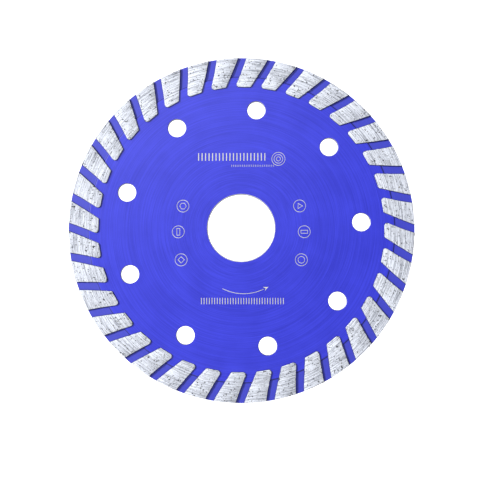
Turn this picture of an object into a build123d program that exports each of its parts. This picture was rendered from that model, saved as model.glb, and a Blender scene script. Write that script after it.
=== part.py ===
from build123d import *
from build123d.topology import SkipClean
import os
from math import cos, radians, sin

# A turbo-rim diamond blade for an angle grinder. All sizes are in millimetres.
#
# The blade is drawn lying down: its axis is Z and its marked front face looks along +Z, with X to the
# right and Y up as the front is read. At the end it is stood up like a wheel, so that in the part's own
# frame the spindle axis is Y, the front face looks along -Y and +Z is up. The origin is the centre of
# the bore, half way through the thickness.

# Size class of the blade
outer_diameter = 115.0  # over the diamonds that stand out of the edge
bore_diameter = 22.23  # 7/8 inch arbor
rim_thickness = 2.0  # over the diamonds that stand out of the two faces
rim_height = 10.0  # how far the teeth reach in from the edge

# Steel core
core_thickness = 1.2
edge_break = 0.1  # small chamfer at the bore and the vent holes
seat_bevel = 0.6  # width of the slope at the core's edge, down to the web's thickness
key_radius = 1.2  # half-round notches in the core's edge that the sintered bond grips

# Vent holes in the core
vent_count = 9
vent_diameter = 6.0
vent_land = 4.6  # steel between a hole's edge and the circle of the tooth ends
vent_phase = 2.7  # degrees

# Diamond rim
web_thickness = 0.9  # at the floor of the grooves
web_height = 6.3  # from the core's edge to the blade's edge
tooth_count = 36  # on each side
tooth_phase = 1.0  # degrees, clockwise corner of the first tooth at the edge
tooth_lean = 5.2  # degrees that a tooth turns counterclockwise from the edge to its inner end
tooth_curl = -1.45  # degrees, how far that lean bends
groove_edge = 2.8  # degrees that a groove takes at the edge
groove_inner = 3.75  # degrees that it takes at the teeth's inner ends
tooth_draft = 18.0  # degrees that a tooth's walls slope
leading_corner = 0.4  # rounding of the inner end's clockwise corner
trailing_corner = 0.9  # rounding of its counterclockwise corner
rim_break = 0.12  # wear at the two rims of the blade's edge

# Lacquer
lacquer_thickness = 0.05
lacquer_setback = 0.15  # steel left bare round the bore's chamfer

# Diamonds that show in the ground bond
grit_exposure = 0.04  # how far a diamond stands out
grit_depth = 0.16  # how far it reaches in
face_grit_across = 0.42
edge_grit_across = 0.3
grit_taper = 14.0  # degrees
face_grit_count = 1  # on each tooth
edge_grit_count = 1  # on the edge, for each tooth
grit_side_margin = 0.18  # share of a tooth's face left clear along its sides
grit_end_margin = 0.09  # share left clear at its two ends
golden_share = 0.618034  # spreads the diamonds evenly without a repeat

# Marks cut through the front lacquer: plain figures, placed from the axis as (X, Y)
mark_stroke = 0.2
title_size = (23.3, 2.6)
title_place = (-3.2, 23.8)
title_bars = 20
strap_size = (14.6, 0.7)
strap_place = (3.8, 20.8)
strap_bars = 24
sizes_size = (27.9, 2.1)
sizes_place = (0.4, -24.2)
sizes_bars = 32
bar_share = 0.32  # how much of its pitch a bar takes
emblem_diameters = [4.6, 3.1, 1.6]
emblem_place = (12.4, 23.1)
badge_diameter = 4.2
badge_figure = 1.2  # reach of a badge's figure from its middle
badge_places = [(19.4, 7.3), (20.9, -1.3), (19.9, -10.6)]  # on the right, and mirrored on the left
arrow_points = [(-6.2, -20.1), (0.8, -21.8), (7.4, -20.3)]
arrow_head = (1.8, 1.6)  # length and width
arrow_notch = 0.7  # how far the head's back is cut in

# Worked out from the sizes above
outer_radius = outer_diameter / 2
bore_radius = bore_diameter / 2
vent_radius = vent_diameter / 2
core_half = core_thickness / 2
web_half = web_thickness / 2
core_radius = outer_radius - web_height
tooth_end_radius = outer_radius - rim_height
vent_circle_radius = tooth_end_radius - vent_land - vent_radius
bond_radius = outer_radius - grit_exposure
bond_half = rim_thickness / 2 - grit_exposure
tooth_pitch = 360 / tooth_count
overrun = rim_thickness


def polar(radius, angle):
    """Point at this radius and angle, counterclockwise from X as the front is read."""
    return (radius * cos(radians(angle)), radius * sin(radians(angle)))


def turned(profile):
    """Solid of revolution about the blade's axis, from (radius, height) corners."""
    corners = [(radius, 0, height) for radius, height in profile]
    return revolve(make_face(Polyline(*corners, close=True)), Axis.Z)


def around(shape, count, phase=0.0):
    """Copies of a shape, spread evenly about the axis."""
    return [Rotation(0, 0, phase + 360 * step / count) * shape for step in range(count)]


def to_back(shape):
    """A front feature's partner on the back: mirrored, and half a tooth further round."""
    return Rotation(0, 0, tooth_pitch / 2) * mirror(shape, about=Plane.XY)


def vents():
    """Spaces of the vent holes with their chamfers, which open at 45 degrees past both faces."""
    wide = vent_radius + edge_break + overrun
    top = core_half + overrun
    waist = core_half - edge_break
    profile = [
        (0, -top),
        (wide, -top),
        (vent_radius, -waist),
        (vent_radius, waist),
        (wide, top),
        (0, top),
    ]
    return around(Pos(vent_circle_radius, 0, 0) * turned(profile), vent_count, vent_phase)


def tooth_angle(radius, across):
    """Angle on the first tooth's face. across runs from 0 at its clockwise flank to 1 at the other."""
    depth = (outer_radius - radius) / rim_height
    lean = tooth_lean * depth + tooth_curl * depth * (1 - depth)
    groove = groove_edge + (groove_inner - groove_edge) * depth
    return tooth_phase + lean + (tooth_pitch - groove) * across


def tooth_flank(across):
    """Arc along one flank, from past the blade's edge to the tooth's inner end."""
    radii = [outer_radius + overrun, outer_radius - rim_height / 2, tooth_end_radius]
    return ThreePointArc(*[polar(radius, tooth_angle(radius, across)) for radius in radii])


def tooth_outline():
    """Outline of a tooth's ground face, with its two inner corners rounded."""
    leading = tooth_flank(0)
    trailing = tooth_flank(1)
    outer_end = Line(leading @ 0, trailing @ 0)
    inner_end = Line(leading @ 1, trailing @ 1)
    outline = make_face([leading, inner_end, trailing, outer_end])
    for corner, rounding in ((leading @ 1, leading_corner), (trailing @ 1, trailing_corner)):
        outline = fillet(outline.vertices().sort_by_distance(corner)[0], rounding)
    return outline


def tooth():
    """One front tooth, from the web's face up to its ground face, where its sloping walls are narrowest."""
    body = extrude(Pos(0, 0, web_half) * tooth_outline(), bond_half - web_half)
    walls = body.faces() - body.faces().filter_by(Plane.XY)
    return draft(walls, Plane.XY.offset(bond_half), tooth_draft)


def core_blank():
    """The core's disc, chamfered at the bore and bevelled at its edge to the web's thickness."""
    return turned(
        [
            (bore_radius, edge_break - core_half),
            (bore_radius + edge_break, -core_half),
            (core_radius - seat_bevel, -core_half),
            (core_radius, -web_half),
            (core_radius, web_half),
            (core_radius - seat_bevel, core_half),
            (bore_radius + edge_break, core_half),
            (bore_radius, core_half - edge_break),
        ]
    )


def keys():
    """Half-round keys of bond in the core's edge, each under the middle of a front tooth."""
    middle = polar(core_radius, tooth_angle(core_radius, 1 / 2))
    key = Pos(*middle) * Cylinder(key_radius, core_thickness)
    return around(key & core_blank(), tooth_count)


def steel_core():
    return core_blank() - vents() - keys()


def edge_envelope():
    """The ground outer shape of the rim, which trims every tooth at the blade's edge."""
    return turned(
        [
            (0, -bond_half),
            (bond_radius - rim_break, -bond_half),
            (bond_radius, rim_break - bond_half),
            (bond_radius, bond_half - rim_break),
            (bond_radius - rim_break, bond_half),
            (0, bond_half),
        ]
    )


def trimmed_tooth():
    """A front tooth as far as the blade's edge, seated on the core's face and bevel."""
    return (tooth() & edge_envelope()) - core_blank()


def diamond_rim(front_stones, back_stones, edge_stones):
    """The sintered ring: its web, the teeth on both sides and the keys, pocketed for the diamonds."""
    web = turned(
        [
            (core_radius, -web_half),
            (bond_radius, -web_half),
            (bond_radius, web_half),
            (core_radius, web_half),
        ]
    )
    front = around(trimmed_tooth(), tooth_count)
    back = [to_back(shape) for shape in front]
    pieces = [shape - stones for shape, stones in zip(front + back, front_stones + back_stones)]
    with SkipClean():
        return (web - edge_stones) + pieces + keys()


def diamond(across):
    """One diamond, standing on the XY plane as it stands in the bond's surface."""
    outline = RegularPolygon(across / 2, 6)
    return Pos(0, 0, -grit_depth) * extrude(outline, grit_depth + grit_exposure, taper=grit_taper)


def spread(index, share, margin):
    """The index-th place between margin and 1 - margin of an even, unrepeating spread."""
    return margin + (1 - 2 * margin) * (index * share % 1)


def face_grit():
    """Diamonds in the front teeth's faces, a list for each tooth."""
    stone = diamond(face_grit_across)
    teeth = []
    for step in range(tooth_count):
        stones = []
        for row in range(face_grit_count):
            index = step * face_grit_count + row
            along = (row + spread(index, golden_share, grit_end_margin)) / face_grit_count
            radius = tooth_end_radius + rim_height * spread(1, along, grit_end_margin)
            across = spread(index * index, golden_share, grit_side_margin)
            place = polar(radius, tooth_angle(radius, across) + step * tooth_pitch)
            stones.append(Pos(*place, bond_half) * stone)
        teeth.append(stones)
    return teeth


def edge_grit():
    """Diamonds in the blade's edge, on the web's band that runs all the way round."""
    stone = Pos(bond_radius, 0, 0) * Rotation(0, 90, 0) * diamond(edge_grit_across)
    reach = web_half - edge_grit_across / 2
    count = tooth_count * edge_grit_count
    stones = []
    for index in range(count):
        height = reach * (2 * (index * golden_share % 1) - 1)
        stones.append(Rotation(0, 0, 360 * index / count) * Pos(0, 0, height) * stone)
    return stones


def bars(count, size, place):
    """A row of plain upright bars in the space of a line of marks."""
    width, height = size
    pitch = width / count
    bar = Rectangle(pitch * bar_share, height)
    return [Pos(*place) * spot * bar for spot in GridLocations(pitch, 0, count, 1)]


def outlined(figure):
    """The outline of a figure, one stroke wide and inside its edge."""
    return figure - offset(figure, -mark_stroke, kind=Kind.INTERSECTION)


def badges():
    """Six rings, each round a simple figure."""
    width = 2 * badge_figure
    figures = [
        RegularPolygon(badge_figure, 3),
        Rectangle(width, badge_figure),
        Circle(badge_figure),
        RegularPolygon(badge_figure, 6),
        Rectangle(badge_figure, width),
        RegularPolygon(badge_figure, 4),
    ]
    places = badge_places + [(-x, y) for x, y in badge_places]
    marks = []
    for (x, y), figure in zip(places, figures):
        marks.append(Pos(x, y) * outlined(Circle(badge_diameter / 2)))
        marks.append(Pos(x, y) * outlined(figure))
    return marks


def arrow():
    """The turning arrow: a thin arc with a swept head."""
    shaft = ThreePointArc(*arrow_points)
    length, width = arrow_head
    head = Polygon((0, -width / 2), (length, 0), (0, width / 2), (arrow_notch, 0), align=None)
    heading = (shaft % 1).get_signed_angle(Vector(1, 0, 0), Vector(0, 0, -1))
    return [trace(shaft, mark_stroke), Pos(*(shaft @ 1)) * Rotation(0, 0, heading) * head]


def marks():
    """Every mark as a cutter through the front lacquer."""
    figures = bars(title_bars, title_size, title_place)
    figures += bars(strap_bars, strap_size, strap_place)
    figures += bars(sizes_bars, sizes_size, sizes_place)
    figures += [Pos(*emblem_place) * outlined(Circle(across / 2)) for across in emblem_diameters]
    figures += badges() + arrow()
    return [extrude(Pos(0, 0, core_half) * figure, lacquer_thickness) for figure in figures]


def lacquer_coat():
    """The front coat on the core's face, down its bevel and out along the grooves, with no vents yet."""
    path = [
        (bore_radius + edge_break + lacquer_setback, core_half),
        (core_radius - seat_bevel, core_half),
        (core_radius, web_half),
        (bond_radius, web_half),
    ]
    top = [(radius, height + lacquer_thickness) for radius, height in reversed(path)]
    return turned(path + top) - around(tooth(), tooth_count)


def nodes():
    """Every node of the blade, drawn lying down."""
    coat = lacquer_coat()
    front_stones = face_grit()
    back_stones = [[to_back(stone) for stone in stones] for stones in front_stones]
    edge_stones = edge_grit()
    return {
        "steel_core": steel_core(),
        "diamond_rim": diamond_rim(front_stones, back_stones, edge_stones),
        "front_lacquer": coat - vents() - marks(),
        "back_lacquer": to_back(coat) - vents(),
        "front_grit": Compound(sum(front_stones, [])),
        "back_grit": Compound(sum(back_stones, [])),
        "edge_grit": Compound(edge_stones),
    }


stand_up = Rotation(90, 0, 0)
os.makedirs("parts", exist_ok=True)
for node, shape in nodes().items():
    export_step(stand_up * shape, f"parts/{node}.step")
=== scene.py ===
"""Visual model of a turbo-rim diamond blade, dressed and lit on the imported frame.

The blade stands upright like a wheel: its spindle axis is Y, the marked front face looks along -Y and +Z
is up. Angles run counterclockwise from +X as the front is read. Every length is in metres.
"""

import logging
import math
import random
from dataclasses import dataclass, field
from enum import Enum

import bmesh
import bpy
from mathutils import Matrix, Vector


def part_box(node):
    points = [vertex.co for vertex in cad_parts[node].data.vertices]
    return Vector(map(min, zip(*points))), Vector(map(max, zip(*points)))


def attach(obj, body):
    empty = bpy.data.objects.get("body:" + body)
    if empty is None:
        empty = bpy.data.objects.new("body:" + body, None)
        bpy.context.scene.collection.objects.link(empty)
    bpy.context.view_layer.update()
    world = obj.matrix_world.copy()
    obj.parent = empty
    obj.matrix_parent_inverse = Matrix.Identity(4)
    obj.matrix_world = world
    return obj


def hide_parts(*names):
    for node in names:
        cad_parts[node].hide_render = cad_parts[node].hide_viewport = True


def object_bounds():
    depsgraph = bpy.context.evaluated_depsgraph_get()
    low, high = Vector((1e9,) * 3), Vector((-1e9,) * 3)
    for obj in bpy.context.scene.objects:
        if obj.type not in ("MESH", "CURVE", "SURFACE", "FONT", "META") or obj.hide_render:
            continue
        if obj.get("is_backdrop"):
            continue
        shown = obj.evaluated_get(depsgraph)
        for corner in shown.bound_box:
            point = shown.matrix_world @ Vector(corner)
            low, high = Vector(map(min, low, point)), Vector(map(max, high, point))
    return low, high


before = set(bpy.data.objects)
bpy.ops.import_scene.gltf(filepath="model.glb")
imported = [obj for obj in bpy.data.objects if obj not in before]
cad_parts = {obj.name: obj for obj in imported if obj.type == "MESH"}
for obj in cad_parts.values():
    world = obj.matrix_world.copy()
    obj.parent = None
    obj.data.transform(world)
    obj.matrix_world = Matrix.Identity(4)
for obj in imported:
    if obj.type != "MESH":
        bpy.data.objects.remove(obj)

MM = 0.001
ROOT = "root"
Colour = tuple[float, float, float]
Span = tuple[float, float]

log = logging.getLogger("blade")


class Side(Enum):
    """A face of the blade, by the sign of Y that it looks along."""

    FRONT = -1
    BACK = 1

    @property
    def word(self) -> str:
        """The side's name as the nodes spell it."""
        return self.name.lower()


# Shader building


class Amount:
    """A number that changes over a surface, which arithmetic can be written with."""

    def __init__(self, recipe: "Recipe", socket: bpy.types.NodeSocket) -> None:
        """Wraps an output socket of the recipe's node tree."""
        self.recipe = recipe
        self.socket = socket

    def math(self, operation: str, *values: "Amount | float") -> "Amount":
        """Adds a Math node.

        Args:
            operation: The Math node's operation.
            values: Its inputs, in order.

        Returns:
            The node's result.
        """
        inputs = dict(enumerate(values))
        return self.recipe.amount("ShaderNodeMath", {"operation": operation}, inputs)

    def __add__(self, other: "Amount | float") -> "Amount":
        """This plus the other."""
        return self.math("ADD", self, other)

    def __radd__(self, other: float) -> "Amount":
        """The other plus this."""
        return self.math("ADD", other, self)

    def __sub__(self, other: "Amount | float") -> "Amount":
        """This less the other."""
        return self.math("SUBTRACT", self, other)

    def __rsub__(self, other: float) -> "Amount":
        """The other less this."""
        return self.math("SUBTRACT", other, self)

    def __mul__(self, other: "Amount | float") -> "Amount":
        """This times the other."""
        return self.math("MULTIPLY", self, other)

    def __rmul__(self, other: float) -> "Amount":
        """The other times this."""
        return self.math("MULTIPLY", other, self)

    def __truediv__(self, other: "Amount | float") -> "Amount":
        """This over the other."""
        return self.math("DIVIDE", self, other)

    def size(self) -> "Amount":
        """This without its sign."""
        return self.math("ABSOLUTE", self)

    def root(self) -> "Amount":
        """The square root."""
        return self.math("SQRT", self)

    def most(self, other: "Amount | float") -> "Amount":
        """The larger of this and the other."""
        return self.math("MAXIMUM", self, other)

    def rise(self, low: float, high: float) -> "Amount":
        """A smooth step.

        Args:
            low: Where the step starts, at 0.
            high: Where it ends, at 1.

        Returns:
            The step's height, from 0 to 1.
        """
        settings = {"interpolation_type": "SMOOTHSTEP", "clamp": True}
        inputs = {"Value": self, "From Min": low, "From Max": high, "To Min": 0.0, "To Max": 1.0}
        return self.recipe.amount("ShaderNodeMapRange", settings, inputs)


@dataclass(frozen=True)
class DiscPlace:
    """Where a point of the blade is, as shader amounts."""

    along_axis: Amount
    radius: Amount
    turn_x: Amount
    turn_z: Amount
    point: bpy.types.NodeSocket


class Recipe:
    """A material's node tree, built from one node method."""

    def __init__(self, name: str) -> None:
        """Starts an empty material.

        Args:
            name: The finish's name.
        """
        self.material = bpy.data.materials.new(name)
        self.material.use_nodes = True
        self.tree = self.material.node_tree
        self.tree.nodes.clear()

    def node(
        self,
        kind: str,
        settings: dict[str, object] | None = None,
        inputs: dict[str | int, object] | None = None,
    ) -> bpy.types.Node:
        """Adds a node, its settings first and then its sockets.

        Args:
            kind: The node's type.
            settings: Its properties by name.
            inputs: Values, sockets or amounts by the input's name or number.

        Returns:
            The new node.
        """
        made = self.tree.nodes.new(kind)
        for name, value in (settings or {}).items():
            setattr(made, name, value)
        for key, value in (inputs or {}).items():
            if isinstance(value, Amount):
                value = value.socket
            if isinstance(value, bpy.types.NodeSocket):
                self.tree.links.new(value, made.inputs[key])
            else:
                made.inputs[key].default_value = value
        return made

    def amount(
        self,
        kind: str,
        settings: dict[str, object] | None = None,
        inputs: dict[str | int, object] | None = None,
        output: str | int = 0,
    ) -> Amount:
        """Adds a node and wraps one output.

        Args:
            kind: The node's type.
            settings: Its properties by name.
            inputs: Its input values or links.
            output: The output's name or number.

        Returns:
            That output as an amount.
        """
        return Amount(self, self.node(kind, settings, inputs).outputs[output])

    def place(self) -> DiscPlace:
        """Where a shaded point lies on the disc.

        Returns:
            Its height along the axis, its radius and its direction round the axis.
        """
        point = self.node("ShaderNodeTexCoord").outputs["Object"]
        parts = self.node("ShaderNodeSeparateXYZ", inputs={"Vector": point})
        x, y, z = (Amount(self, output) for output in parts.outputs)
        radius = (x * x + z * z).root()
        return DiscPlace(y, radius, x / radius, z / radius, point)

    def arcs(self, place: DiscPlace, length: float, width: float) -> Amount:
        """Noise drawn out into short arcs round the axis.

        Args:
            place: The point on the disc.
            length: How long an arc is, as an angle in radians.
            width: How wide it is across, in metres.

        Returns:
            The noise, about 0.5 on average.
        """
        inputs = {"X": place.turn_x * (1 / length), "Y": place.turn_z * (1 / length)}
        inputs["Z"] = place.radius * (1 / width)
        spot = self.node("ShaderNodeCombineXYZ", inputs=inputs).outputs[0]
        return self.noise(spot, 1.0, 2.0, 0.55)

    def noise(
        self, vector: bpy.types.NodeSocket, scale: float, detail: float = 2.0, roughness: float = 0.5
    ) -> Amount:
        """Soft noise.

        Args:
            vector: Where it is read.
            scale: Its grains to the metre.
            detail: Its octaves.
            roughness: How strong the finer octaves are.

        Returns:
            The noise, about 0.5 on average.
        """
        inputs = {"Vector": vector, "Scale": scale, "Detail": detail, "Roughness": roughness}
        return self.amount("ShaderNodeTexNoise", None, inputs)

    def mix(self, share: Amount | float, first: object, second: object) -> bpy.types.NodeSocket:
        """A colour between two.

        Args:
            share: 0 for the first colour, 1 for the second.
            first: A colour or a colour socket.
            second: The same.

        Returns:
            The mixed colour's socket.
        """
        colours = [(*value, 1.0) if isinstance(value, tuple) else value for value in (first, second)]
        inputs = {0: share, 6: colours[0], 7: colours[1]}
        settings = {"data_type": "RGBA", "clamp_factor": True}
        return self.node("ShaderNodeMix", settings, inputs).outputs[2]

    def bump(self, height: Amount, depth: float) -> bpy.types.NodeSocket:
        """A normal bent by a height.

        Args:
            height: The height's pattern, from 0 to 1.
            depth: What a height of 1 stands for, in metres.

        Returns:
            The normal's socket.
        """
        inputs = {"Strength": 1.0, "Distance": depth, "Height": height}
        return self.node("ShaderNodeBump", None, inputs).outputs[0]

    def surface(self, inputs: dict[str | int, object]) -> bpy.types.Material:
        """Closes the recipe with a Principled surface.

        Args:
            inputs: The Principled node's values and links.

        Returns:
            The finished material.
        """
        shader = self.node("ShaderNodeBsdfPrincipled", None, inputs)
        self.node("ShaderNodeOutputMaterial", None, {"Surface": shader.outputs[0]})
        return self.material


# Sizes of the blade


@dataclass(frozen=True)
class BladeSizes:
    """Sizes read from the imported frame. A height is measured from mid thickness."""

    edge_radius: float
    face_height: float
    stone_height: float
    stone_radius: float
    core_radius: float
    core_height: float
    coat_height: float
    web_height: float

    @classmethod
    def from_frame(cls) -> "BladeSizes":
        """Measures the CAD nodes.

        Returns:
            The blade's sizes.
        """
        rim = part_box("diamond_rim")[1]
        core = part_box("steel_core")[1]
        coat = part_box("front_lacquer")
        return cls(
            edge_radius=rim.x,
            face_height=rim.y,
            stone_height=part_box("back_grit")[1].y,
            stone_radius=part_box("edge_grit")[1].x,
            core_radius=core.x,
            core_height=core.y,
            coat_height=-coat[0].y,
            web_height=-coat[1].y,
        )


@dataclass(frozen=True)
class ToothPattern:
    """How the teeth lie round the rim. Angles are in degrees."""

    count: int = 36
    phase: float = 1.0
    lean: float = 5.2
    curl: float = -1.45
    groove_edge: float = 2.8
    groove_inner: float = 3.75
    height: float = 10 * MM
    outer_radius: float = 57.5 * MM

    @property
    def pitch(self) -> float:
        """Degrees from one tooth to the next."""
        return 360 / self.count

    @property
    def end_radius(self) -> float:
        """Radius of the teeth's inner ends."""
        return self.outer_radius - self.height

    def angle(self, radius: float, across: float) -> float:
        """Angle of a point on the first front tooth's face.

        Args:
            radius: The point's radius.
            across: 0 on the tooth's clockwise flank and 1 on the other.

        Returns:
            The angle in degrees.
        """
        depth = (self.outer_radius - radius) / self.height
        lean = self.lean * depth + self.curl * depth * (1 - depth)
        groove = self.groove_edge + (self.groove_inner - self.groove_edge) * depth
        return self.phase + lean + (self.pitch - groove) * across

    def turn(self, side: Side, step: int) -> float:
        """Degrees from the first front tooth to a side's tooth: the back's stand half a pitch on."""
        return self.pitch * (step + (0.5 if side is Side.BACK else 0))


def on_disc(radius: float, degrees: float) -> Vector:
    """The point (x, z) at this radius and angle."""
    turn = math.radians(degrees)
    return Vector((radius * math.cos(turn), radius * math.sin(turn)))


# Finishes. An arc is how long it is, in radians, and how wide; grains are counted to the metre.


@dataclass(frozen=True)
class BlueLacquer:
    """Satin-gloss blue lacquer, thin enough to show the core's grinding and the bond's grain, with a
    painted shadow line at the foot of the core's bevel.
    """

    sizes: BladeSizes
    deep: Colour = (0.017, 0.022, 0.44)
    bright: Colour = (0.031, 0.039, 0.59)
    groove: Colour = (0.032, 0.040, 0.40)
    # Colour of the painted shadow line that stands for the step's shade.
    step_shadow: Colour = (0.008, 0.010, 0.10)
    grinding_arc: Span = (0.55, 0.24 * MM)
    fine_arc: Span = (0.12, 0.12 * MM)
    cloud_grains: float = 90
    bond_grains: float = 2200
    groove_fade: float = 0.5 * MM
    foot_inset: float = 0.28 * MM
    foot_width: float = 0.32 * MM
    relief_depth: float = 0.006 * MM

    def foot(self, place: DiscPlace) -> Amount:
        """A painted shadow line at the foot of the core's bevel, where the step down to the groove casts
        its shade.

        Args:
            place: The point on the disc.

        Returns:
            1 on the line and 0 away from it.
        """
        seat = self.sizes.core_radius - self.foot_inset
        inside = place.radius.rise(seat - self.foot_width, seat)
        past = place.radius.rise(seat, seat + self.foot_width)
        return inside * (1 - past)

    def material(self) -> bpy.types.Material:
        """Builds the lacquer.

        Returns:
            The material.
        """
        recipe = Recipe("blue_lacquer")
        place = recipe.place()
        grinding = recipe.arcs(place, *self.grinding_arc)
        fine = recipe.arcs(place, *self.fine_arc)
        cloud = recipe.noise(place.point, self.cloud_grains, 3)
        grain = recipe.noise(place.point, self.bond_grains, 3, 0.6)
        core_edge = self.sizes.core_radius
        in_groove = place.radius.rise(core_edge - self.groove_fade, core_edge)
        tone = (cloud * 0.35 + grinding * 0.65).rise(0.30, 0.70)
        coat = recipe.mix(tone, self.deep, self.bright)
        ground = recipe.mix(in_groove * (0.45 + grain * 0.5), coat, self.groove)
        # Painted shade: the step's shadow line is made darker towards the lower right, away from the key
        # light.
        shaded_side = (place.turn_x * 0.8 - place.turn_z * 0.6).rise(-0.8, 0.4)
        foot = self.foot(place)
        relief = (grinding * 0.5 + fine * 0.3) * (1 - in_groove) + in_groove * grain * 2.2
        # Painted shadow: the foot line mixes the coat towards the shadow colour.
        return recipe.surface(
            {
                "Base Color": recipe.mix(foot * (0.82 + shaded_side * 0.16), ground, self.step_shadow),
                "Roughness": 0.36 + fine * 0.1 + in_groove * 0.15 + foot * 0.5,
                "Normal": recipe.bump(relief, self.relief_depth),
                "IOR": 1.5,
                "Specular IOR Level": 0.6,
            }
        )


@dataclass(frozen=True)
class SinteredBond:
    """Ground metal bond on the teeth's faces and edge, and lacquered bond on their walls, with the walls
    darkened as painted shade.
    """

    sizes: BladeSizes
    silver: Colour = (0.25, 0.265, 0.315)
    pale: Colour = (0.64, 0.67, 0.745)
    pit: Colour = (0.04, 0.042, 0.05)
    # Wall colours: lacquered bond and bare bond, both made dark to stand for the painted shade on the
    # teeth's flanks.
    bare_bond_and_shade: Colour = (0.035, 0.034, 0.045)
    wall_lacquer_and_shade: Colour = (0.005, 0.006, 0.10)
    scratch_arc: Span = (0.17, 0.17 * MM)
    hairline_arc: Span = (0.04, 0.11 * MM)
    mottle_grains: float = 900
    pit_grains: float = 1500
    speck_grains: float = 3900
    rub_grains: float = 1500
    face_fade: Span = (0.05 * MM, 0.02 * MM)
    edge_fade: Span = (0.06 * MM, 0.03 * MM)
    rubbed_depth: float = 0.14 * MM
    relief_depth: float = 0.030 * MM

    def ground(self, place: DiscPlace, height: Amount) -> Amount:
        """Where dressing has ground the bond: on the teeth's faces and round the blade's edge.

        Args:
            place: The point on the disc.
            height: Its distance from mid thickness.

        Returns:
            1 where it is ground and 0 on the walls.
        """
        face, edge = self.sizes.face_height, self.sizes.edge_radius
        on_face = height.rise(*(face - below for below in self.face_fade))
        on_edge = place.radius.rise(*(edge - inside for inside in self.edge_fade))
        return on_face.most(on_edge)

    def material(self) -> bpy.types.Material:
        """Builds the bond.

        Returns:
            The material.
        """
        recipe = Recipe("sintered_bond")
        place = recipe.place()
        height = place.along_axis.size()
        ground = self.ground(place, height)
        scratch = recipe.arcs(place, *self.scratch_arc)
        hairline = recipe.arcs(place, *self.hairline_arc)
        mottle = recipe.noise(place.point, self.mottle_grains, 4, 0.65)
        pits = recipe.noise(place.point, self.pit_grains, 2).rise(0.66, 0.672)
        specks = recipe.noise(place.point, self.speck_grains, 1).rise(0.68, 0.695)
        hollow = pits.most(specks * 0.8)
        tone = mottle * 0.05 + scratch * 0.6 + hairline * 0.35
        metal = recipe.mix(tone.rise(0.41, 0.53), self.silver, self.pale)
        worn = recipe.mix(hollow, metal, self.pit)
        rub = recipe.noise(place.point, self.rub_grains, 3, 0.6)
        near_face = height.rise(self.sizes.face_height - self.rubbed_depth, self.sizes.face_height)
        # Painted shade: the walls take these darkened colours in place of the teeth's cast shadows.
        wall = recipe.mix(near_face * rub.rise(0.45, 0.6), self.wall_lacquer_and_shade, self.bare_bond_and_shade)
        shine = ground * (1 - hollow * 0.8)
        relief = ground * (scratch * 0.35 + hairline * 0.25 - hollow * 1.6) + (1 - ground) * rub
        return recipe.surface(
            {
                "Base Color": recipe.mix(ground, wall, worn),
                "Metallic": shine * 0.15,
                "Roughness": 0.72 - shine * 0.1 + hairline * 0.12,
                "Normal": recipe.bump(relief, self.relief_depth),
            }
        )


@dataclass(frozen=True)
class CoreSteel:
    """Sheet steel: matt and pale where a mark bares it, machined at the bore and vent holes."""

    sizes: BladeSizes
    bared: Colour = (0.66, 0.65, 0.60)
    cut: Colour = (0.14, 0.14, 0.16)
    grinding_arc: Span = (0.2, 0.1 * MM)
    shear_grains: float = 3500
    face_fade: Span = (0.03 * MM, 0.01 * MM)
    ground_dim: float = 0.85
    shear_bright: float = 1.4
    relief_depth: float = 0.008 * MM

    def material(self) -> bpy.types.Material:
        """Builds the steel.

        Returns:
            The material.
        """
        recipe = Recipe("core_steel")
        place = recipe.place()
        height = place.along_axis.size()
        on_face = height.rise(*(self.sizes.core_height - below for below in self.face_fade))
        grinding = recipe.arcs(place, *self.grinding_arc)
        shear = recipe.noise(place.point, self.shear_grains, 2)
        face = recipe.mix(grinding, self.bared, tuple(part * self.ground_dim for part in self.bared))
        wall = recipe.mix(shear, self.cut, tuple(part * self.shear_bright for part in self.cut))
        return recipe.surface(
            {
                "Base Color": recipe.mix(on_face, wall, face),
                "Metallic": 0.9 - on_face * 0.55,
                "Roughness": 0.34 + on_face * 0.2 + shear * 0.1,
                "Normal": recipe.bump(grinding * on_face + shear * (1 - on_face), self.relief_depth),
            }
        )


@dataclass(frozen=True)
class DiamondCrystal:
    """Synthetic diamond: dark, glassy, a little green and yellow from stone to stone."""

    olive: Colour = (0.035, 0.037, 0.032)
    honey: Colour = (0.15, 0.14, 0.10)
    stone_grains: float = 900
    facet_grains: float = 9000
    relief_depth: float = 0.01 * MM

    def material(self) -> bpy.types.Material:
        """Builds the crystal.

        Returns:
            The material.
        """
        recipe = Recipe("diamond_grit")
        place = recipe.place()
        stone = recipe.noise(place.point, self.stone_grains, 1)
        facet = recipe.noise(place.point, self.facet_grains, 2)
        return recipe.surface(
            {
                "Base Color": recipe.mix(stone.rise(0.4, 0.6), self.olive, self.honey),
                "Roughness": 0.3 + facet * 0.3,
                "Normal": recipe.bump(facet, self.relief_depth),
                "IOR": 1.5,
            }
        )


@dataclass(frozen=True)
class LightTable:
    """Matt white that glows behind the blade and fades to plain paint in front of it."""

    paint: Colour = (0.50, 0.50, 0.50)
    unlit: Colour = (0.0, 0.0, 0.0)
    glow: Colour = (1.0, 1.0, 1.0)
    fade_from: float = 0.20
    fade_to: float = 0.42

    def material(self) -> bpy.types.Material:
        """Builds the white.

        Returns:
            The material.
        """
        recipe = Recipe("light_table")
        lit = recipe.place().along_axis.rise(self.fade_from, self.fade_to)
        return recipe.surface(
            {
                "Base Color": (*self.paint, 1.0),
                "Roughness": 0.9,
                "Specular IOR Level": 0.0,
                "Emission Color": recipe.mix(lit, self.unlit, self.glow),
                "Emission Strength": 1.0,
            }
        )


# Mesh building


def dress(piece: bpy.types.Object, material: bpy.types.Material) -> None:
    """Gives a piece one material in place of what it had.

    Args:
        piece: The piece.
        material: Its finish.
    """
    piece.data.materials.clear()
    piece.data.materials.append(material)


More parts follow.
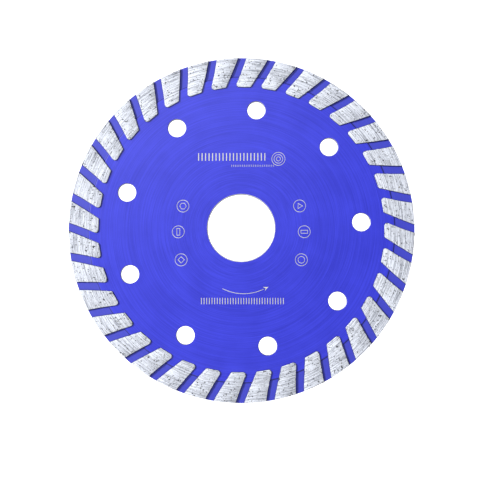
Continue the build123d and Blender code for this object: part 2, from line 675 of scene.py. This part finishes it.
def as_piece(
    shape: bmesh.types.BMesh,
    name: str,
    material: bpy.types.Material,
    replaced: tuple[str, ...] = (),
    crease: float = 35.0,
) -> bpy.types.Object:
    """Turns a finished bmesh into a piece that rides on the blade.

    Args:
        shape: The mesh, which is freed.
        name: The piece's name.
        material: Its finish.
        replaced: CAD nodes that it stands for.
        crease: Angle in degrees from which an edge stays sharp.

    Returns:
        The piece.
    """
    for face in shape.faces:
        face.smooth = True
    for edge in shape.edges:
        edge.smooth = edge.calc_face_angle(math.pi) < math.radians(crease)
    mesh = bpy.data.meshes.new(name)
    shape.to_mesh(mesh)
    shape.free()
    piece = bpy.data.objects.new(name, mesh)
    bpy.context.scene.collection.objects.link(piece)
    dress(piece, material)
    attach(piece, ROOT)
    if replaced:
        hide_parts(*replaced)
    log.info("%s: %d faces", name, len(mesh.polygons))
    return piece


def spun(shape: bmesh.types.BMesh, profile: list[tuple[float, float]], steps: int) -> None:
    """Adds a closed ring about the blade's axis.

    Args:
        shape: The bmesh to add to.
        profile: Corners of the ring's section as (radius, y), in order round it.
        steps: Segments of the full turn.
    """
    corners = [shape.verts.new((radius, y, 0)) for radius, y in profile]
    sides = [shape.edges.new((corners[at - 1], corners[at])) for at in range(len(corners))]
    bmesh.ops.spin(
        shape,
        geom=corners + sides,
        cent=(0, 0, 0),
        axis=(0, 1, 0),
        angle=2 * math.pi,
        steps=steps,
        use_merge=True,
    )
    bmesh.ops.recalc_face_normals(shape, faces=shape.faces)


# Sub-assemblies


@dataclass
class SteelCore:
    """The steel disc, which shows at its holes and through the marks."""

    sizes: BladeSizes
    node: str = "steel_core"

    def build(self) -> None:
        """Dresses the CAD disc."""
        dress(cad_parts[self.node], CoreSteel(self.sizes).material())
        log.info("%s: dressed", self.node)


@dataclass
class LacquerCoats:
    """Both coats, and the low ring that the rim's mould leaves in each face under its lacquer."""

    sizes: BladeSizes
    ring_radius: float = 46.7 * MM
    ring_width: float = 0.55 * MM
    ring_height: float = 0.02 * MM
    ring_steps: int = 240

    def build(self) -> None:
        """Dresses the coats and adds the mould rings."""
        finish = BlueLacquer(self.sizes).material()
        for side in Side:
            dress(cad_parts[f"{side.word}_lacquer"], finish)
            log.info("%s_lacquer: dressed", side.word)
            self.mould_ring(side, finish)

    def mould_ring(self, side: Side, finish: bpy.types.Material) -> bpy.types.Object:
        """A low, soft-edged ring standing on the coat.

        Args:
            side: The face it is on.
            finish: The lacquer.

        Returns:
            The ring.
        """
        half = self.ring_width / 2
        shoulder = half / 3
        levels = [(-half, -1.0), (-shoulder, 0.9), (0.0, 1.0), (shoulder, 0.9), (half, -1.0)]
        top = self.sizes.coat_height
        profile = [
            (self.ring_radius + offset, side.value * (top + self.ring_height * level))
            for offset, level in levels
        ]
        shape = bmesh.new()
        spun(shape, profile, self.ring_steps)
        return as_piece(shape, f"{side.word}_mould_ring", finish, crease=60)


@dataclass
class TurboRim:
    """The sintered ring: a thin web with worn, leaning teeth on both faces."""

    sizes: BladeSizes
    pattern: ToothPattern
    draft: float = 18.0
    leading_corner: float = 0.4 * MM
    trailing_corner: float = 0.9 * MM
    corner_lead: float = 1 * MM
    flank_points: int = 15
    corner_points: int = 4
    worn_edge: float = 0.05 * MM
    wear: float = 0.06 * MM
    chip_chance: float = 0.07
    chip_depth: float = 0.12 * MM
    web_steps: int = 360
    seed: int = 41

    def build(self) -> bpy.types.Object:
        """Builds and dresses the rim.

        Returns:
            The rim, which stands for its CAD node.
        """
        chance = random.Random(self.seed)
        rim = bmesh.new()
        web = self.sizes.web_height
        inner, outer = self.sizes.core_radius, self.sizes.edge_radius
        spun(rim, [(inner, -web), (outer, -web), (outer, web), (inner, web)], self.web_steps)
        for side in Side:
            for step in range(self.pattern.count):
                self.add_tooth(rim, side, step, chance)
        finish = SinteredBond(self.sizes).material()
        return as_piece(rim, "turbo_rim", finish, ("diamond_rim",))

    def rounded(self, before: Vector, corner: Vector, after: Vector, radius: float) -> list[Vector]:
        """Points of the arc that rounds a corner.

        Args:
            before: A point on the edge that leads to the corner.
            corner: The sharp corner.
            after: A point on the edge that leaves it.
            radius: The arc's radius.

        Returns:
            The arc's points, in order.
        """
        back = (before - corner).normalized()
        on = (after - corner).normalized()
        half = back.angle(on) / 2
        centre = corner + (back + on).normalized() * (radius / math.sin(half))
        start = corner + back * (radius / math.tan(half)) - centre
        end = corner + on * (radius / math.tan(half)) - centre
        points = []
        for step in range(self.corner_points + 1):
            share = step / self.corner_points
            points.append(centre + start.lerp(end, share).normalized() * radius)
        return points

    def foot(self, turn: float, spread: float) -> list[Vector]:
        """Outline of a tooth at its foot.

        Args:
            turn: Degrees that the tooth stands on from the first.
            spread: How far its walls have spread by there.

        Returns:
            The outline's points (x, z), down the clockwise flank and back up the other.
        """

        def point(radius: float, across: int) -> Vector:
            """A point on a flank, moved out by the spread."""
            grow = math.degrees(spread / radius) * (2 * across - 1)
            return on_disc(radius, self.pattern.angle(radius, across) + turn + grow)

        past = self.sizes.edge_radius + spread
        end = self.pattern.end_radius - spread
        up = end + self.corner_lead
        near, far = point(end, 0), point(end, 1)
        leading = self.rounded(point(up, 0), near, far, self.leading_corner + spread)
        trailing = self.rounded(near, far, point(up, 1), self.trailing_corner + spread)
        outline = []
        for across, corner, tip in ((0, leading, leading[0]), (1, trailing, trailing[-1])):
            reach = past - tip.length
            steps = range(self.flank_points)
            flank = [point(past - reach * step / self.flank_points, across) for step in steps]
            outline += flank + corner if across == 0 else corner + flank[::-1]
        return outline

    def add_tooth(self, rim: bmesh.types.BMesh, side: Side, step: int, chance: random.Random) -> None:
        """Adds one worn tooth.

        Args:
            rim: The bmesh to add to.
            side: The face that the tooth stands on.
            step: Its number round the rim.
            chance: Source of the wear's unevenness.
        """
        height = self.sizes.face_height - self.sizes.web_height
        spread = height * math.tan(math.radians(self.draft))
        turn = self.pattern.turn(side, step)
        outline = self.foot(turn, spread)
        if side is Side.BACK:
            outline.reverse()
        tooth = bmesh.new()
        level = side.value * self.sizes.web_height
        ring = [tooth.verts.new((place.x, level, place.y)) for place in outline]
        top = tooth.faces.new(ring)
        top.normal_update()
        if top.normal.y * side.value < 0:
            top.normal_flip()
        bmesh.ops.inset_region(
            tooth, faces=[top], thickness=spread, depth=height, use_boundary=True, use_even_offset=True
        )
        bmesh.ops.holes_fill(tooth, edges=[edge for edge in tooth.edges if edge.is_boundary])
        self.trim(tooth)
        self.wear_down(tooth, top, side, chance)
        bmesh.ops.recalc_face_normals(tooth, faces=tooth.faces)
        part = bpy.data.meshes.new("tooth")
        tooth.to_mesh(part)
        tooth.free()
        rim.from_mesh(part)
        bpy.data.meshes.remove(part)

    def trim(self, tooth: bmesh.types.BMesh) -> None:
        """Pulls in what stands past the blade's edge.

        Args:
            tooth: The tooth's bmesh.
        """
        for vert in tooth.verts:
            radius = math.hypot(vert.co.x, vert.co.z)
            if radius > self.sizes.edge_radius:
                share = self.sizes.edge_radius / radius
                vert.co.x *= share
                vert.co.z *= share

    def wear_down(
        self, tooth: bmesh.types.BMesh, top: bmesh.types.BMFace, side: Side, chance: random.Random
    ) -> None:
        """Rounds a tooth's ground edge, and makes it a little uneven and chipped.

        Args:
            tooth: The tooth's bmesh.
            top: Its ground face.
            side: The face of the blade that it is on.
            chance: Source of the unevenness.
        """
        middle = top.calc_center_median()
        for vert in top.verts:
            inward = (middle - vert.co).normalized()
            at_edge = math.hypot(vert.co.x, vert.co.z) > self.sizes.edge_radius - self.wear
            slip = 0.0 if at_edge else chance.uniform(0, self.wear)
            if not at_edge and chance.random() < self.chip_chance:
                slip += self.chip_depth
            vert.co += inward * slip
        bmesh.ops.bevel(
            tooth,
            geom=list(top.edges),
            offset=self.worn_edge,
            offset_type="OFFSET",
            segments=2,
            profile=0.5,
            affect="EDGES",
            clamp_overlap=True,
            material=-1,
        )


@dataclass
class DiamondGrit:
    """The diamonds that show in the bond: in both ground faces and round the edge.

    Stretch, burial and showing are ranges that each stone draws from, as shares of its size or exposure.
    """

    sizes: BladeSizes
    pattern: ToothPattern
    per_tooth: int = 12
    on_edge: int = 260
    smallest: float = 0.14 * MM
    largest: float = 0.30 * MM
    margin: float = 0.12
    stretch: Span = (0.75, 1.25)
    burial: Span = (0.35, 0.75)
    showing: Span = (0.4, 1)
    edge_scatter: float = 0.4
    facet_crease: float = 1.0
    seed: int = 7

    def build(self) -> None:
        """Builds the stones of both faces and of the edge."""
        finish = DiamondCrystal().material()
        chance = random.Random(self.seed)
        for side in Side:
            self.face_stones(side, chance, finish)
        self.edge_stones(chance, finish)

    def stone(
        self, shape: bmesh.types.BMesh, chance: random.Random, out: Vector, seat: Vector, exposure: float
    ) -> None:
        """Adds one broken crystal, most of it buried.

        Args:
            shape: The bmesh to add to.
            chance: Source of its form.
            out: Direction that points out of the bond.
            seat: The point of the bond's surface that it breaks through.
            exposure: How far it may stand out.
        """
        size = chance.uniform(self.smallest, self.largest)
        verts = bmesh.ops.create_icosphere(shape, subdivisions=1, radius=size)["verts"]
        scales = [chance.uniform(*self.stretch) for _ in range(3)]
        bmesh.ops.scale(shape, vec=scales, verts=verts)
        axis = Vector([chance.uniform(-1, 1) for _ in range(3)]).normalized()
        spin = Matrix.Rotation(chance.uniform(0, math.tau), 3, axis)
        bmesh.ops.rotate(shape, cent=(0, 0, 0), matrix=spin, verts=verts)
        buried = chance.uniform(*self.burial) * size
        bmesh.ops.translate(shape, vec=seat - out * buried, verts=verts)
        for vert in verts:
            over = (vert.co - seat).dot(out) - exposure
            if over > 0:
                vert.co -= out * over

    def face_stones(
        self, side: Side, chance: random.Random, finish: bpy.types.Material
    ) -> bpy.types.Object:
        """Stones in a side's ground teeth.

        Args:
            side: The face.
            chance: Source of their places.
            finish: The crystal.

        Returns:
            The stones as one piece.
        """
        shape = bmesh.new()
        out = Vector((0, side.value, 0))
        exposure = self.sizes.stone_height - self.sizes.face_height
        nearest = self.margin * self.pattern.height / 2
        furthest = self.pattern.height * (1 - self.margin)
        for step in range(self.pattern.count):
            for _ in range(self.per_tooth):
                radius = self.pattern.outer_radius - chance.uniform(nearest, furthest)
                across = chance.uniform(self.margin, 1 - self.margin)
                angle = self.pattern.angle(radius, across) + self.pattern.turn(side, step)
                spot = on_disc(radius, angle)
                seat = Vector((spot.x, side.value * self.sizes.face_height, spot.y))
                self.stone(shape, chance, out, seat, exposure * chance.uniform(*self.showing))
        name, node = f"{side.word}_diamonds", f"{side.word}_grit"
        return as_piece(shape, name, finish, (node,), self.facet_crease)

    def edge_stones(self, chance: random.Random, finish: bpy.types.Material) -> bpy.types.Object:
        """Stones in the blade's edge.

        Args:
            chance: Source of their places.
            finish: The crystal.

        Returns:
            The stones as one piece.
        """
        shape = bmesh.new()
        exposure = self.sizes.stone_radius - self.sizes.edge_radius
        for index in range(self.on_edge):
            place = index + chance.uniform(-self.edge_scatter, self.edge_scatter)
            spot = on_disc(1, 360 * place / self.on_edge)
            out = Vector((spot.x, 0, spot.y))
            height = chance.uniform(-1, 1) * (self.sizes.web_height - self.largest)
            seat = out * self.sizes.edge_radius + Vector((0, height, 0))
            self.stone(shape, chance, out, seat, exposure * chance.uniform(*self.showing))
        name, node = "edge_diamonds", "edge_grit"
        return as_piece(shape, name, finish, (node,), self.facet_crease)


@dataclass(frozen=True)
class Softbox:
    """A square studio light aimed at a point, the blade's centre if none is given."""

    name: str
    place: Vector
    width: float
    watts: float
    aim: Vector = field(default_factory=lambda: Vector((0, 0, 0)))

    def build(self) -> bpy.types.Object:
        """Hangs the light.

        Returns:
            The light.
        """
        data = bpy.data.lights.new(self.name, "AREA")
        data.shape = "SQUARE"
        data.size = self.width
        data.energy = self.watts
        lamp = bpy.data.objects.new(self.name, data)
        lamp.location = self.place
        lamp.rotation_euler = (self.aim - self.place).to_track_quat("-Z", "Y").to_euler()
        bpy.context.scene.collection.objects.link(lamp)
        return lamp


@dataclass
class Studio:
    """A white sweep, a soft key from the left, a frontal light for sheen, and the camera."""

    lowest: float
    drop: float = 0.19
    half_width: float = 2.5
    sweep_back: float = 1.0
    sweep_front: float = 1.0
    sweep_height: float = 1.0
    surround: float = 0.15
    key: Softbox = field(
        default_factory=lambda: Softbox("key_light", Vector((-1.61, -0.80, 0.65)), 0.20, 76)
    )
    sheen: Softbox = field(
        default_factory=lambda: Softbox("sheen_light", Vector((-0.12, -0.48, 0.27)), 0.40, 0.8)
    )
    camera_place: Vector = field(default_factory=lambda: Vector((0.00535, -0.218, -0.01747)))
    camera_aim: Vector = field(default_factory=lambda: Vector((0.00294, 0.0, -0.00417)))
    lens: float = 47.3
    sensor: float = 36.0
    clip: Span = (0.01, 20.0)

    def build(self) -> None:
        """Sets up the sweep, the lights and the camera."""
        self.sweep()
        self.surroundings()
        self.key.build()
        self.sheen.build()
        self.camera()
        log.info("studio: ready")

    def sweep(self) -> bpy.types.Object:
        """Lays the floor, which turns up into a backdrop behind the blade.

        Returns:
            The sweep.
        """
        shape = bmesh.new()
        low = self.lowest - self.drop
        line = [(-self.sweep_front, low), (self.sweep_back, low), (self.sweep_back, self.sweep_height)]
        left = [shape.verts.new((-self.half_width, y, z)) for y, z in line]
        edges = [shape.edges.new(pair) for pair in zip(left, left[1:])]
        grown = bmesh.ops.extrude_edge_only(shape, edges=edges)["geom"]
        right = [part for part in grown if isinstance(part, bmesh.types.BMVert)]
        bmesh.ops.translate(shape, vec=(2 * self.half_width, 0, 0), verts=right)
        bmesh.ops.recalc_face_normals(shape, faces=shape.faces)
        mesh = bpy.data.meshes.new("floor")
        shape.to_mesh(mesh)
        shape.free()
        floor = bpy.data.objects.new("floor", mesh)
        bpy.context.scene.collection.objects.link(floor)
        dress(floor, LightTable().material())
        floor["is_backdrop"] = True
        return floor

    def surroundings(self) -> None:
        """Makes the surroundings an even white."""
        world = bpy.data.worlds.new("white_room")
        world.use_nodes = True
        background = world.node_tree.nodes["Background"]
        background.inputs["Color"].default_value = (1.0, 1.0, 1.0, 1.0)
        background.inputs["Strength"].default_value = self.surround
        bpy.context.scene.world = world
        bpy.context.scene.view_settings.view_transform = "Standard"

    def camera(self) -> bpy.types.Object:
        """Places the camera.

        Returns:
            The camera.
        """
        data = bpy.data.cameras.new("camera")
        data.lens = self.lens
        data.sensor_width = self.sensor
        data.clip_start, data.clip_end = self.clip
        camera = bpy.data.objects.new("camera", data)
        camera.location = self.camera_place
        look = self.camera_aim - self.camera_place
        camera.rotation_euler = look.to_track_quat("-Z", "Y").to_euler()
        bpy.context.scene.collection.objects.link(camera)
        bpy.context.scene.camera = camera
        return camera


def main() -> None:
    """Builds the blade and its studio."""
    logging.basicConfig(level=logging.INFO, format="%(name)s: %(message)s")
    cad_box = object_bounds()
    sizes = BladeSizes.from_frame()
    pattern = ToothPattern()
    SteelCore(sizes).build()
    LacquerCoats(sizes).build()
    TurboRim(sizes, pattern).build()
    DiamondGrit(sizes, pattern).build()
    Studio(lowest=cad_box[0].z).build()


if __name__ == "__main__":
    main()
